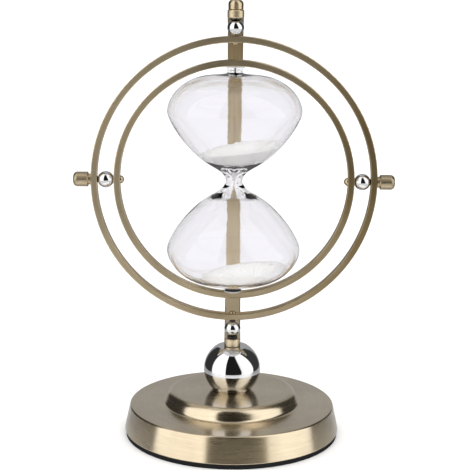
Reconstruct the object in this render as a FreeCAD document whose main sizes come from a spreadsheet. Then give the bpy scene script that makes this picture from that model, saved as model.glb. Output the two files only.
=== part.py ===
"""Gimbal hourglass: a sand glass in two turning rings on a C-shaped arm and a stepped round base.

Frame: +Z up, millimetres, origin at the centre of the base pad's underside. The rings stand in the
XZ plane, the arm goes round behind them on the +Y side, and the side pivots lie along X.
"""
import FreeCAD, Part
import math
import os
import Sketcher

# ---------------------------------------------------------------- driving sizes, in millimetres
SIZES = {
    # base
    "pad_inset": 0.8,
    "pad_thickness": 3.0,
    "skirt_radius": 69.2,
    "skirt_lean": 3.6,
    "skirt_height": 16.6,
    "floor_rise": 0.8,
    "step_radius": 43.2,
    "step_lean": 2.6,
    "step_height": 8.8,
    "crown_rise": 0.2,
    "hem_rounding": 0.5,
    "rim_rounding": 1.2,
    "cove_rounding": 1.8,
    "shoulder_rounding": 5.0,
    "shell_wall": 1.0,
    "weight_clearance": 1.2,
    "weight_thickness": 8.0,
    "weight_boss_radius": 12.0,
    "bolt_radius": 3.0,
    "bolt_head_radius": 5.8,
    "bolt_head_height": 4.0,
    "bolt_head_gap": 0.8,
    "bolt_washer_radius": 7.0,
    "bolt_washer_thickness": 1.2,
    "bolt_grip_in_ball": 9.0,
    # big ball and arm
    "stand_ball_radius": 18.2,
    "ball_foot_radius": 12.2,
    "ball_seat_radius": 9.9,
    "arm_width": 10.4,
    "arm_thickness": 5.2,
    "arm_setback": 2.5,
    "arm_rounding": 0.8,
    # rings
    "outer_ring_radius": 90.0,
    "ring_bar": 4.0,
    "ring_depth": 6.0,
    "ring_rounding": 0.5,
    # pivots
    "spacer_radius": 5.2,
    "spacer_flat_width": 0.3,
    "screw_radius": 1.5,
    "side_head_overhang": 1.1,
    "side_head_height": 2.4,
    "upright_head_overhang": 0.6,
    "upright_head_height": 1.4,
    "screw_slot_width": 0.7,
    "screw_slot_depth": 0.6,
    "screw_grip": 5.0,
    "screw_end_gap": 1.0,
    "drill_allowance": 1.0,
    "neck_wall": 0.3,
    "lower_neck_length": 1.1,
    "side_neck_length": 0.5,
    "washer_radius": 3.2,
    "lower_washer_thickness": 1.6,
    "upper_washer_thickness": 0.9,
    "knob_washer_radius": 3.45,
    "knob_washer_thickness": 1.5,
    "knob_radius": 4.7,
    "side_knob_length": 9.5,
    "top_knob_length": 6.2,
    "knob_dome": 2.8,
    "knob_chamfer": 0.5,
    # glass and sand
    "glass_neck_radius": 4.95,
    "bulb_radius": 42.0,
    "glass_wall": 1.5,
    "orifice_radius": 1.1,
    "stub_radius": 5.0,
    "stub_length": 3.6,
    "seat_radius": 5.9,
    "seat_thickness": 0.7,
    "sand_gap": 0.15,
    "upper_sand_level": 20.0,
    "lower_sand_depth": 4.7,
    "upper_sand_foot": 0.6,
    "sand_tilt": 8.0,
    # fits
    "running_clearance": 0.05,
    "shank_clearance": 0.1,
    "thread_clearance": 0.02,
    "axial_play": 0.15,
    "curved_seat_gap": 0.05,
}

# ---------------------------------------------------------------- places worked out from the sizes
S = "Sizes."
PAD_RADIUS = f"({S}skirt_radius - {S}pad_inset)"
RIM_RADIUS = f"({S}skirt_radius - {S}skirt_lean)"
DISC_RADIUS = f"({S}step_radius - {S}step_lean)"
RIM_HEIGHT = f"({S}pad_thickness + {S}skirt_height)"
DISC_HEIGHT = f"({RIM_HEIGHT} + {S}step_height)"
CROWN_HEIGHT = f"({DISC_HEIGHT} + {S}crown_rise)"
BOLT_HEAD_BASE = f"({S}pad_thickness + {S}bolt_head_gap)"
BOLT_SEAT = f"({BOLT_HEAD_BASE} + {S}bolt_head_height + {S}bolt_washer_thickness)"
BALL_HEIGHT = f"({CROWN_HEIGHT} + sqrt({S}stand_ball_radius^2 - {S}ball_foot_radius^2))"
ARM_FOOT = f"({BALL_HEIGHT} + sqrt({S}stand_ball_radius^2 - {S}ball_seat_radius^2))"
ARM_FLOOR = f"({ARM_FOOT} + {S}arm_thickness)"
SHANK_BORE = f"({S}screw_radius + {S}shank_clearance)"
NECK_RADIUS = f"({SHANK_BORE} + {S}neck_wall)"
SPACER_FLAT = f"({SHANK_BORE} + {S}spacer_flat_width)"
SPACER_LENGTH = f"(2 * sqrt({S}spacer_radius^2 - {SPACER_FLAT}^2))"
LOWER_SPACER_BASE = f"({ARM_FLOOR} + {S}lower_washer_thickness)"
LOWER_NECK_BASE = f"({LOWER_SPACER_BASE} + {SPACER_LENGTH})"
RING_BOTTOM = f"({LOWER_NECK_BASE} + {S}lower_neck_length + {S}axial_play)"
RING_CENTRE = f"({RING_BOTTOM} + {S}outer_ring_radius)"
UPPER_SPACER_BASE = f"({RING_CENTRE} + {S}outer_ring_radius + {S}axial_play)"
UPPER_WASHER_BASE = f"({UPPER_SPACER_BASE} + {SPACER_LENGTH})"
ARM_CEILING = f"({UPPER_WASHER_BASE} + {S}upper_washer_thickness)"
ARM_TOP = f"({ARM_CEILING} + {S}arm_thickness)"
ARM_INNER_RADIUS = f"(({ARM_CEILING} - {ARM_FLOOR}) / 2)"
ARM_CENTRE = f"(({ARM_CEILING} + {ARM_FLOOR}) / 2)"
OUTER_RING_BORE = f"({S}outer_ring_radius - {S}ring_bar)"
SIDE_NECK_END = f"({OUTER_RING_BORE} - {S}curved_seat_gap)"
SIDE_SPACER_END = f"({SIDE_NECK_END} - {S}side_neck_length)"
SIDE_SPACER_BASE = f"({SIDE_SPACER_END} - {SPACER_LENGTH})"
INNER_RING_RADIUS = f"({SIDE_SPACER_BASE} - {S}axial_play)"
INNER_RING_BORE = f"({INNER_RING_RADIUS} - {S}ring_bar)"
SIDE_KNOB_BASE = f"({S}outer_ring_radius + {S}knob_washer_thickness)"

document = FreeCAD.newDocument("gimbal_hourglass")
sheet = document.addObject("Spreadsheet::Sheet", "Sizes")
for row, (alias, value) in enumerate(SIZES.items(), start=1):
    sheet.set(f"A{row}", alias)
    sheet.set(f"B{row}", str(value))
    sheet.setAlias(f"B{row}", alias)
document.recompute()

pieces = []


def evaluate(expression):
    """The present value of an expression over the sheet, as a plain number."""
    result = sheet.evalExpression(expression.replace(S, ""))
    return float(getattr(result, "Value", result))


def bind(thing, **properties):
    """Bind properties of an object to expressions; a double underscore stands for a dot."""
    for name, expression in properties.items():
        thing.setExpression(name.replace("__", "."), expression)


def piece(thing, label):
    """Name a finished sub-part, which is written out under that name."""
    thing.Label = label
    pieces.append(thing)
    return thing


# ---------------------------------------------------------------- sketches and features
def sketch_on(body, plane, offset=None):
    """A sketch on one of the body's own origin planes, moved along its normal by an expression."""
    sketch = body.newObject("Sketcher::SketchObject", f"{body.Name}_sketch")
    support = next(item for item in body.Origin.OriginFeatures if item.Role == plane)
    sketch.AttachmentSupport = [(support, "")]
    sketch.MapMode = "FlatFace"
    if offset:
        bind(sketch, AttachmentOffset__Base__z=offset)
    return sketch


def bind_last(sketch, expression):
    """Bind the constraint that was added last."""
    sketch.setExpression(f"Constraints[{sketch.ConstraintCount - 1}]", expression)


def draw_outline(sketch, corners, round_side=None, round_centre=None):
    """A closed outline whose corners are pairs of expressions, each bound by two constraints.

    Its sides are straight, but for one that may be an arc, drawn anticlockwise about a centre.
    """
    places = [(evaluate(x), evaluate(y)) for x, y in corners]
    count = len(corners)
    for index, (x, y) in enumerate(places):
        end = places[(index + 1) % count]
        if index == round_side:
            centre = [evaluate(part) for part in round_centre]
            radius = math.dist((x, y), centre)
            circle = Part.Circle(FreeCAD.Vector(*centre, 0), FreeCAD.Vector(0, 0, 1), radius)
            first = math.atan2(y - centre[1], x - centre[0])
            last = math.atan2(end[1] - centre[1], end[0] - centre[0])
            side = Part.ArcOfCircle(circle, first, last)
        else:
            side = Part.LineSegment(FreeCAD.Vector(x, y, 0), FreeCAD.Vector(*end, 0))
        sketch.addGeometry(side, False)
    for index in range(count):
        sketch.addConstraint(Sketcher.Constraint("Coincident", index, 2, (index + 1) % count, 1))
    fixed = [(index, 1, corner) for index, corner in enumerate(corners)]
    if round_side is not None:
        fixed.append((round_side, 3, (None, round_centre[1])))
    for side, point, corner in fixed:
        for kind, axis, expression in (("DistanceX", -2, corner[0]), ("DistanceY", -1, corner[1])):
            if expression is None:
                continue
            if expression == "0":
                sketch.addConstraint(Sketcher.Constraint("PointOnObject", side, point, axis))
                continue
            constraint = Sketcher.Constraint(kind, -1, 1, side, point, evaluate(expression))
            sketch.addConstraint(constraint)
            bind_last(sketch, expression)


def draw_circle(sketch, radius):
    """A circle about the sketch's origin."""
    circle = Part.Circle(FreeCAD.Vector(0, 0, 0), FreeCAD.Vector(0, 0, 1), evaluate(radius))
    line = sketch.addGeometry(circle, False)
    sketch.addConstraint(Sketcher.Constraint("Coincident", line, 3, -1, 1))
    sketch.addConstraint(Sketcher.Constraint("Radius", line, evaluate(radius)))
    bind_last(sketch, radius)


def revolve(body, sketch):
    """Turn a sketch fully about its own vertical axis."""
    feature = body.newObject("PartDesign::Revolution", f"{body.Name}_turned")
    feature.Profile = sketch
    feature.ReferenceAxis = (sketch, ["V_Axis"])
    feature.Angle = 360
    sketch.Visibility = False
    document.recompute()
    return feature


def extrude(body, sketch, kind, length, symmetric=False, backwards=False):
    """Pad or pocket a sketch by a length given as an expression."""
    feature = body.newObject(f"PartDesign::{kind}", f"{body.Name}_{kind.lower()}")
    feature.Profile = sketch
    feature.SideType = "Symmetric" if symmetric else "One side"
    feature.Reversed = backwards
    bind(feature, Length=length)
    sketch.Visibility = False
    document.recompute()
    return feature


def round_edges(body, feature, chosen, radius):
    """Fillet the edges of a feature that a test picks."""
    names = [f"Edge{n}" for n, edge in enumerate(feature.Shape.Edges, start=1) if chosen(edge)]
    fillet = body.newObject("PartDesign::Fillet", f"{body.Name}_rounding")
    fillet.Base = (feature, names)
    bind(fillet, Radius=radius)
    document.recompute()
    return fillet


def at_circle(radius, height):
    """A test for circular edges of a given radius and height about the body's Z axis."""
    wanted = (evaluate(radius), evaluate(height))

    def test(edge):
        if edge.Curve.TypeId != "Part::GeomCircle":
            return False
        found = (edge.Curve.Radius, edge.Curve.Center.z)
        return math.dist(found, wanted) < 0.01

    return test


# ---------------------------------------------------------------- small turned pieces
def place_upright(thing, height):
    """Stand a turned piece on the vertical axis with its foot at a height."""
    bind(thing, Placement__Base__z=height)


def place_sideways(thing, side, distance):
    """Lay a turned piece along X with its foot at a distance from the centre, pointing outwards."""
    thing.Placement.Rotation = FreeCAD.Rotation(FreeCAD.Vector(0, 1, 0), 90 * side)
    bind(thing, Placement__Base__x=f"{side} * {distance}", Placement__Base__z=RING_CENTRE)


def tube(label, radius, bore, length):
    """A plain washer or bush: a cylinder with a bore, on the Z axis from zero upwards."""
    outside = document.addObject("Part::Cylinder", f"{label}_outside")
    bind(outside, Radius=radius, Height=length)
    inside = document.addObject("Part::Cylinder", f"{label}_bore")
    bind(inside, Radius=bore, Height=length)
    cut = document.addObject("Part::Cut", label)
    cut.Base = outside
    cut.Tool = inside
    return piece(cut, label)


def spacer_ball(label):
    """A drilled ball with a small flat at each end, standing on its lower flat."""
    ball = document.addObject("Part::Sphere", f"{label}_sphere")
    latitude = f"acos({SPACER_FLAT} / {S}spacer_radius)"
    bind(
        ball,
        Radius=f"{S}spacer_radius",
        Angle1=f"-{latitude}",
        Angle2=latitude,
        Placement__Base__z=f"{SPACER_LENGTH} / 2",
    )
    bore = document.addObject("Part::Cylinder", f"{label}_bore")
    bind(bore, Radius=SHANK_BORE, Height=SPACER_LENGTH)
    cut = document.addObject("Part::Cut", label)
    cut.Base = ball
    cut.Tool = bore
    return piece(cut, label)


def pivot_screw(label, shank, head_radius, head_height):
    """A dome-headed slotted screw: head below zero, shank upwards from zero."""
    head = document.addObject("Part::Ellipsoid", f"{label}_dome")
    head.Angle1 = -90
    head.Angle2 = 0
    bind(
        head,
        Radius1=head_height,
        Radius2=head_radius,
        Radius3=head_radius,
    )
    slot = document.addObject("Part::Box", f"{label}_slot")
    bind(
        slot,
        Length=f"2 * {head_radius}",
        Width=f"{S}screw_slot_width",
        Height=f"{S}screw_slot_depth",
        Placement__Base__x=f"-{head_radius}",
        Placement__Base__y=f"-{S}screw_slot_width / 2",
        Placement__Base__z=f"-{head_height}",
    )
    slotted = document.addObject("Part::Cut", f"{label}_head")
    slotted.Base = head
    slotted.Tool = slot
    rod = document.addObject("Part::Cylinder", f"{label}_shank")
    bind(rod, Radius=f"{S}screw_radius", Height=shank)
    screw = document.addObject("Part::Fuse", label)
    screw.Base = slotted
    screw.Tool = rod
    return piece(screw, label)


def cap_nut(label, length):
    """A round knob with a blind bore, a small chamfer at its foot and a domed outer end."""
    body = document.addObject("PartDesign::Body", label)
    sketch = sketch_on(body, "XZ_Plane")
    bore = f"({S}screw_radius + {S}thread_clearance)"
    depth = f"({S}screw_grip - {S}knob_chamfer)"
    corners = [
        (bore, "0"),
        (f"{S}knob_radius - {S}knob_chamfer", "0"),
        (f"{S}knob_radius", f"{S}knob_chamfer"),
        (f"{S}knob_radius", length),
        ("0", length),
        ("0", depth),
        (bore, depth),
    ]
    draw_outline(sketch, corners)
    turned = revolve(body, sketch)
    round_edges(body, turned, at_circle(f"{S}knob_radius", length), f"{S}knob_dome")
    return piece(body, label)


# ---------------------------------------------------------------- base
def make_base_pad():
    """Thin round foot pad, a plain disc."""
    pad = document.addObject("Part::Cylinder", "base_pad")
    bind(pad, Radius=PAD_RADIUS, Height=f"{S}pad_thickness")
    piece(pad, "base_pad")


def make_base_shell():
    """Spun cover: skirt, rounded rim, sloping floor, cove, step wall, shoulder and low crown."""
    body = document.addObject("PartDesign::Body", "base_shell")
    sketch = sketch_on(body, "XZ_Plane")
    wall = f"{S}shell_wall"
    hole = f"({S}bolt_radius + {S}shank_clearance)"
    foot = f"({S}ball_foot_radius + 2 * {wall})"
    floor_end = f"({RIM_HEIGHT} + {S}floor_rise)"
    outside = [
        (f"{S}skirt_radius", f"{S}pad_thickness"),
        (RIM_RADIUS, RIM_HEIGHT),
        (f"{S}step_radius", floor_end),
        (DISC_RADIUS, DISC_HEIGHT),
        (foot, CROWN_HEIGHT),
        (hole, CROWN_HEIGHT),
    ]
    inside = [
        (hole, f"{CROWN_HEIGHT} - {wall}"),
        (foot, f"{CROWN_HEIGHT} - {wall}"),
        (f"{DISC_RADIUS} - {wall}", f"{DISC_HEIGHT} - {wall}"),
        (f"{S}step_radius - {wall}", f"{floor_end} - {wall}"),
        (f"{RIM_RADIUS} - {wall}", f"{RIM_HEIGHT} - {wall}"),
        (f"{S}skirt_radius - {wall}", f"{S}pad_thickness"),
    ]
    draw_outline(sketch, outside + inside)
    feature = revolve(body, sketch)
    roundings = (
        (outside[0], f"{S}hem_rounding"),
        (outside[1], f"{S}rim_rounding"),
        (outside[2], f"{S}cove_rounding"),
        (outside[3], f"{S}shoulder_rounding"),
        (inside[2], f"{S}shoulder_rounding - {wall}"),
    )
    for (radius, height), rounding in roundings:
        feature = round_edges(body, feature, at_circle(radius, height), rounding)
    piece(body, "base_shell")


def make_base_weight():
    """Iron plate inside the skirt with a boss up to the top disc, bored for the bolt."""
    body = document.addObject("PartDesign::Body", "base_weight")
    sketch = sketch_on(body, "XZ_Plane")
    gap = f"({S}shell_wall + {S}weight_clearance)"
    hole = f"({S}bolt_radius + {S}shank_clearance)"
    boss = f"{S}weight_boss_radius"
    plate_top = f"({S}pad_thickness + {S}weight_thickness)"
    slope = f"({S}skirt_lean * {S}weight_thickness / {S}skirt_height)"
    pocket_radius = f"({S}bolt_washer_radius + 2 * {S}shank_clearance)"
    corners = [
        (pocket_radius, f"{S}pad_thickness"),
        (f"{S}skirt_radius - {gap}", f"{S}pad_thickness"),
        (f"{S}skirt_radius - {gap} - {slope}", plate_top),
        (boss, plate_top),
        (boss, f"{CROWN_HEIGHT} - {S}shell_wall"),
        (hole, f"{CROWN_HEIGHT} - {S}shell_wall"),
        (hole, BOLT_SEAT),
        (pocket_radius, BOLT_SEAT),
    ]
    draw_outline(sketch, corners)
    revolve(body, sketch)
    piece(body, "base_weight")


def make_base_bolt():
    """Hexagon bolt and its washer, from the weight's counterbore up into the big ball."""
    under_washer = f"({BOLT_SEAT} - {S}bolt_washer_thickness)"
    washer = tube(
        "bolt_washer",
        f"{S}bolt_washer_radius",
        f"{S}bolt_radius + {S}shank_clearance",
        f"{S}bolt_washer_thickness",
    )
    place_upright(washer, under_washer)
    head = document.addObject("Part::Prism", "bolt_head")
    head.Polygon = 6
    bind(
        head,
        Circumradius=f"{S}bolt_head_radius",
        Height=f"{S}bolt_head_height",
        Placement__Base__z=f"{under_washer} - {S}bolt_head_height",
    )
    shank = document.addObject("Part::Cylinder", "bolt_shank")
    bind(
        shank,
        Radius=f"{S}bolt_radius",
        Height=f"{CROWN_HEIGHT} + {S}bolt_grip_in_ball - {under_washer}",
        Placement__Base__z=under_washer,
    )
    bolt = document.addObject("Part::Fuse", "base_bolt")
    bolt.Base = head
    bolt.Tool = shank
    piece(bolt, "base_bolt")


def make_stand_ball():
    """Big ball with a flat foot and a flat seat for the arm, drilled from both ends."""
    ball = document.addObject("Part::Sphere", "stand_ball_sphere")
    bind(
        ball,
        Radius=f"{S}stand_ball_radius",
        Angle1=f"-acos({S}ball_foot_radius / {S}stand_ball_radius)",
        Angle2=f"acos({S}ball_seat_radius / {S}stand_ball_radius)",
        Placement__Base__z=BALL_HEIGHT,
    )
    foot_bore = document.addObject("Part::Cylinder", "stand_ball_foot_bore")
    bind(
        foot_bore,
        Radius=f"{S}bolt_radius + {S}thread_clearance",
        Height=f"{S}bolt_grip_in_ball + {S}drill_allowance",
        Placement__Base__z=CROWN_HEIGHT,
    )
    drilled = document.addObject("Part::Cut", "stand_ball_drilled")
    drilled.Base = ball
    drilled.Tool = foot_bore
    seat_bore = document.addObject("Part::Cylinder", "stand_ball_seat_bore")
    seat_bore_depth = f"({S}screw_grip + {S}drill_allowance)"
    bind(
        seat_bore,
        Radius=f"{S}screw_radius + {S}thread_clearance",
        Height=seat_bore_depth,
        Placement__Base__z=f"{ARM_FOOT} - {seat_bore_depth}",
    )
    finished = document.addObject("Part::Cut", "stand_ball")
    finished.Base = drilled
    finished.Tool = seat_bore
    piece(finished, "stand_ball")


# ---------------------------------------------------------------- arm
def make_c_arm():
    """Flat bar bent to a half circle behind the rings, with a round-ended tongue at each end."""
    body = document.addObject("PartDesign::Body", "c_arm")
    bind(body, Placement__Base__z=ARM_CENTRE)
    inner = ARM_INNER_RADIUS
    outer = f"({ARM_INNER_RADIUS} + {S}arm_thickness)"
    width = f"{S}arm_width"
    half = f"({S}arm_width / 2)"
    setback = f"{S}arm_setback"
    # half hoop behind the arc's centre
    ring = sketch_on(body, "YZ_Plane")
    draw_circle(ring, outer)
    draw_circle(ring, inner)
    extrude(body, ring, "Pad", width, symmetric=True)
    front = sketch_on(body, "YZ_Plane")
    far = f"({outer} + {S}drill_allowance)"
    draw_outline(front, [("0", f"-{far}"), ("0", far), (f"-{far}", far), (f"-{far}", f"-{far}")])
    extrude(body, front, "Pocket", f"2 * {width}", symmetric=True)
    # straight tongues with a round end, at the bottom and at the top
    forward = f"-{setback}"
    tongue = [(half, "0"), (f"-{half}", "0"), (f"-{half}", forward), (half, forward)]
    for level, backwards in ((f"-{outer}", False), (outer, True)):
        sketch = sketch_on(body, "XY_Plane", level)
        draw_outline(sketch, tongue, round_side=2, round_centre=("0", forward))
        extrude(body, sketch, "Pad", f"{S}arm_thickness", backwards=backwards)
    hole = sketch_on(body, "XY_Plane")
    bind(hole, AttachmentOffset__Base__y=f"-{setback}")
    draw_circle(hole, SHANK_BORE)
    bored = extrude(body, hole, "Pocket", f"3 * {outer}", symmetric=True)

    def long_edge(edge):
        """Edges that run along the bar or round its ends, and neither the hole's nor the seams."""
        if edge.Curve.TypeId == "Part::GeomCircle":
            return edge.Curve.Radius > evaluate(half) - 0.01
        return abs(edge.Curve.Direction.y) > 0.99

    bind(body, Placement__Base__y=setback)
    round_edges(body, bored, long_edge, f"{S}arm_rounding")
    piece(body, "c_arm")


# ---------------------------------------------------------------- rings
def make_ring(label, radius, side_bore, vertical_bore=None):
    """Flat bar bent to a circle in the XZ plane, bored through for its pivots."""
    body = document.addObject("PartDesign::Body", label)
    bind(body, Placement__Base__z=RING_CENTRE)
    profile = sketch_on(body, "XY_Plane")
    half = f"({S}ring_depth / 2)"
    bore = f"({radius} - {S}ring_bar)"
    draw_outline(profile, [(bore, f"-{half}"), (radius, f"-{half}"), (radius, half), (bore, half)])
    hoop = revolve(body, profile)
    rounded = round_edges(body, hoop, lambda edge: True, f"{S}ring_rounding")
    bores = [("YZ_Plane", side_bore)]
    if vertical_bore:
        bores.append(("XY_Plane", vertical_bore))
    for plane, size in bores:
        hole = sketch_on(body, plane)
        draw_circle(hole, size)
        extrude(body, hole, "Pocket", f"3 * {radius}", symmetric=True)
    return piece(body, label)


def make_rings():
    """Outer ring running on the vertical screws, inner ring running on the side screws."""
    running = f"{S}screw_radius + {S}running_clearance"
    make_ring("outer_ring", f"{S}outer_ring_radius", SHANK_BORE, vertical_bore=running)
    make_ring("inner_ring", INNER_RING_RADIUS, running)


# ---------------------------------------------------------------- pivots
def make_vertical_pivots():
    """Stacks of washer, ball and screw between the arm's ends and the outer ring."""
    washer = tube("lower_washer", f"{S}washer_radius", SHANK_BORE, f"{S}lower_washer_thickness")
    place_upright(washer, ARM_FLOOR)
    place_upright(spacer_ball("lower_spacer_ball"), LOWER_SPACER_BASE)
    neck = tube("lower_neck_bush", NECK_RADIUS, SHANK_BORE, f"{S}lower_neck_length")
    place_upright(neck, LOWER_NECK_BASE)
    place_upright(spacer_ball("upper_spacer_ball"), UPPER_SPACER_BASE)
    washer = tube("upper_washer", f"{S}washer_radius", SHANK_BORE, f"{S}upper_washer_thickness")
    place_upright(washer, UPPER_WASHER_BASE)
    head_gap = f"({S}ring_bar + {S}axial_play)"
    upper_seat = f"({RING_CENTRE} + {S}outer_ring_radius - {head_gap})"
    head = (f"({S}screw_radius + {S}upright_head_overhang)", f"{S}upright_head_height")
    upper_end = f"{ARM_TOP} + {S}screw_grip - {S}screw_end_gap"
    upper = pivot_screw("upper_pivot_screw", f"{upper_end} - {upper_seat}", *head)
    place_upright(upper, upper_seat)
    lower_seat = f"({RING_BOTTOM} + {head_gap})"
    lower_end = f"{ARM_FOOT} - {S}screw_grip"
    lower = pivot_screw("lower_pivot_screw", f"{lower_seat} - {lower_end}", *head)
    lower.Placement.Rotation = FreeCAD.Rotation(FreeCAD.Vector(1, 0, 0), 180)
    place_upright(lower, lower_seat)
    place_upright(cap_nut("top_knob", f"{S}top_knob_length"), ARM_TOP)


def make_side_pivots():
    """Screw, ball, neck, washer and knob on each side, carried by the outer ring."""
    screw_seat = f"({INNER_RING_BORE} - {S}axial_play)"
    shank = f"{SIDE_KNOB_BASE} + {S}screw_grip - {S}screw_end_gap - {screw_seat}"
    head = (f"({S}screw_radius + {S}side_head_overhang)", f"{S}side_head_height")
    for name, side in (("left", -1), ("right", 1)):
        place_sideways(pivot_screw(f"{name}_pivot_screw", shank, *head), side, screw_seat)
        place_sideways(spacer_ball(f"{name}_spacer_ball"), side, SIDE_SPACER_BASE)
        neck = tube(f"{name}_neck_bush", NECK_RADIUS, SHANK_BORE, f"{S}side_neck_length")
        place_sideways(neck, side, SIDE_SPACER_END)
        washer = tube(
            f"{name}_washer", f"{S}knob_washer_radius", SHANK_BORE, f"{S}knob_washer_thickness"
        )
        place_sideways(washer, side, f"{S}outer_ring_radius")
        place_sideways(cap_nut(f"{name}_knob", f"{S}side_knob_length"), side, SIDE_KNOB_BASE)


# ---------------------------------------------------------------- glass and sand
class Bulb:
    """Half of the double bulb: outline of the upper half, heights measured from the neck."""

    def __init__(self):
        self.centre = evaluate(RING_CENTRE)
        self.tip = evaluate(INNER_RING_BORE) - evaluate(f"{S}seat_thickness + {S}curved_seat_gap")
        self.crown = self.tip - evaluate(f"{S}stub_length")
        self.radius = evaluate(f"{S}bulb_radius")
        self.neck = evaluate(f"{S}glass_neck_radius")
        self.stub = evaluate(f"{S}stub_radius")
        self.wall = evaluate(f"{S}glass_wall")

    def curve(self, inset):
        """Spline from the neck over the widest place to the crown, set in by the given wall."""
        points = [
            (self.neck + 0.243 * self.radius, 0.147 * self.crown),
            (0.638 * self.radius, 0.285 * self.crown),
            (0.957 * self.radius, 0.56 * self.crown),
            (self.radius, 0.64 * self.crown),
            (0.964 * self.radius, 0.745 * self.crown),
            (0.783 * self.radius, 0.885 * self.crown),
            (0.517 * self.radius, 0.963 * self.crown),
        ]
        start = (self.neck, 0.0)
        end = (self.stub, self.crown)
        outline = Part.BSplineCurve()
        vectors = [FreeCAD.Vector(r, 0, h) for r, h in [start, *points, end]]
        outline.interpolate(
            Points=vectors,
            InitialTangent=FreeCAD.Vector(0.25, 0, 1),
            FinalTangent=FreeCAD.Vector(-1, 0, 0.25),
        )
        if inset == 0:
            return outline
        inner = []
        for vector in vectors[1:-1]:
            tangent = outline.tangent(outline.parameter(vector))[0]
            inner.append(vector + FreeCAD.Vector(-tangent.z, 0, tangent.x) * inset)
        orifice = evaluate(f"{S}orifice_radius") - (inset - self.wall)
        inner.insert(0, FreeCAD.Vector(orifice, 0, 0))
        inner.append(FreeCAD.Vector(0, 0, self.crown - inset))
        cavity = Part.BSplineCurve()
        cavity.interpolate(
            Points=inner,
            InitialTangent=FreeCAD.Vector(0, 0, 1),
            FinalTangent=FreeCAD.Vector(-1, 0, 0),
        )
        return cavity

    def solid(self, inset=0):
        """Both halves turned about the axis and joined, with the stubs when it is the outside."""
        curve = self.curve(inset)
        end = curve.value(curve.LastParameter)
        corners = [end]
        if inset == 0:
            corners.append(FreeCAD.Vector(self.stub, 0, self.tip))
            corners.append(FreeCAD.Vector(0, 0, self.tip))
        corners.append(FreeCAD.Vector(0, 0, 0))
        corners.append(curve.value(curve.FirstParameter))
        edges = [curve.toShape()]
        for first, second in zip(corners, corners[1:]):
            edges.append(Part.LineSegment(first, second).toShape())
        face = Part.Face(Part.Wire(edges))
        upper = face.revolve(FreeCAD.Vector(0, 0, 0), FreeCAD.Vector(0, 0, 1), 360)
        lower = upper.mirror(FreeCAD.Vector(0, 0, 0), FreeCAD.Vector(0, 0, 1))
        return upper.fuse(lower).removeSplitter()


def plain_feature(label, shape, height):
    """A sub-part whose shape is worked out here, lifted to its height in the frame."""
    feature = document.addObject("Part::Feature", label)
    feature.Shape = shape
    feature.Placement.Base = FreeCAD.Vector(0, 0, height)
    return piece(feature, label)


def make_glass():
    """Clear double bulb with a drilled neck, and the clear pads that seat its stubs."""
    bulb = Bulb()
    plain_feature("glass_bulb", bulb.solid().cut(bulb.solid(bulb.wall)), bulb.centre)
    for label, side in (("upper_glass_seat", 1), ("lower_glass_seat", -1)):
        block = document.addObject("Part::Cylinder", f"{label}_block")
        if side < 0:
            block.Placement.Rotation = FreeCAD.Rotation(FreeCAD.Vector(1, 0, 0), 180)
        face = f"({INNER_RING_BORE} - {S}seat_thickness - {S}curved_seat_gap)"
        bind(
            block,
            Radius=f"{S}seat_radius",
            Height=f"{S}seat_thickness + {S}ring_bar",
            Placement__Base__z=f"{RING_CENTRE} + {side} * {face}",
        )
        hoop = document.addObject("Part::Cylinder", f"{label}_hoop")
        hoop.Placement.Rotation = FreeCAD.Rotation(FreeCAD.Vector(1, 0, 0), 90)
        bind(
            hoop,
            Radius=f"{INNER_RING_BORE} - {S}curved_seat_gap",
            Height=f"4 * {S}seat_radius",
            Placement__Base__y=f"2 * {S}seat_radius",
            Placement__Base__z=RING_CENTRE,
        )
        seat = document.addObject("Part::Common", label)
        seat.Base = block
        seat.Tool = hoop
        piece(seat, label)


def make_sand():
    """Sand in each bulb, a little inside the glass, with a sloping top surface."""
    bulb = Bulb()
    inset = bulb.wall + evaluate(f"{S}sand_gap")
    filling = bulb.solid(inset)
    reach = 3 * bulb.radius
    tilt = FreeCAD.Rotation(FreeCAD.Vector(0, -1, 0), evaluate(f"{S}sand_tilt"))
    levels = (
        ("upper_sand", evaluate(f"{S}upper_sand_level"), evaluate(f"{S}upper_sand_foot")),
        ("lower_sand", evaluate(f"{S}lower_sand_depth") + inset - bulb.crown, -bulb.crown),
    )
    for label, level, floor in levels:
        block = Part.makeBox(reach, reach, reach, FreeCAD.Vector(-reach / 2, -reach / 2, -reach))
        block.Placement = FreeCAD.Placement(FreeCAD.Vector(0, 0, level), tilt)
        depth = Part.makeBox(reach, reach, reach, FreeCAD.Vector(-reach / 2, -reach / 2, floor))
        plain_feature(label, filling.common(block).common(depth), bulb.centre)


# ---------------------------------------------------------------- build, check, write
def check_and_write():
    """Stop on any failed object or bad shape, then write every sub-part."""
    document.recompute()
    for thing in document.Objects:
        if "Invalid" in thing.State or "Error" in thing.State:
            raise RuntimeError(f"{thing.Label} did not build: {thing.State}")
    for thing in pieces:
        shape = thing.Shape
        if shape.isNull() or not shape.isValid() or len(shape.Solids) != 1:
            raise RuntimeError(f"{thing.Label} is not one valid solid")
    os.makedirs("parts", exist_ok=True)
    for thing in pieces:
        thing.Shape.exportStep(f"parts/{thing.Label}.step")
        print(f"{thing.Label}: {thing.Shape.Volume:.1f} mm3")


make_base_pad()
make_base_shell()
make_base_weight()
make_base_bolt()
make_stand_ball()
make_c_arm()
make_rings()
make_vertical_pivots()
make_side_pivots()
make_glass()
make_sand()
check_and_write()
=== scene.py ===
"""Gimbal hourglass: finishes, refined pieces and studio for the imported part.

Laid out as an add-on of small operators, run as a script. Lengths are metres in the frame of the
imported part: the rings stand in the XZ plane, the arm goes round behind them on the +Y side.
"""
import math

import bmesh
import bpy
from bpy.props import FloatProperty, FloatVectorProperty, IntProperty, PointerProperty
from mathutils import Euler, Matrix, Vector


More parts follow.
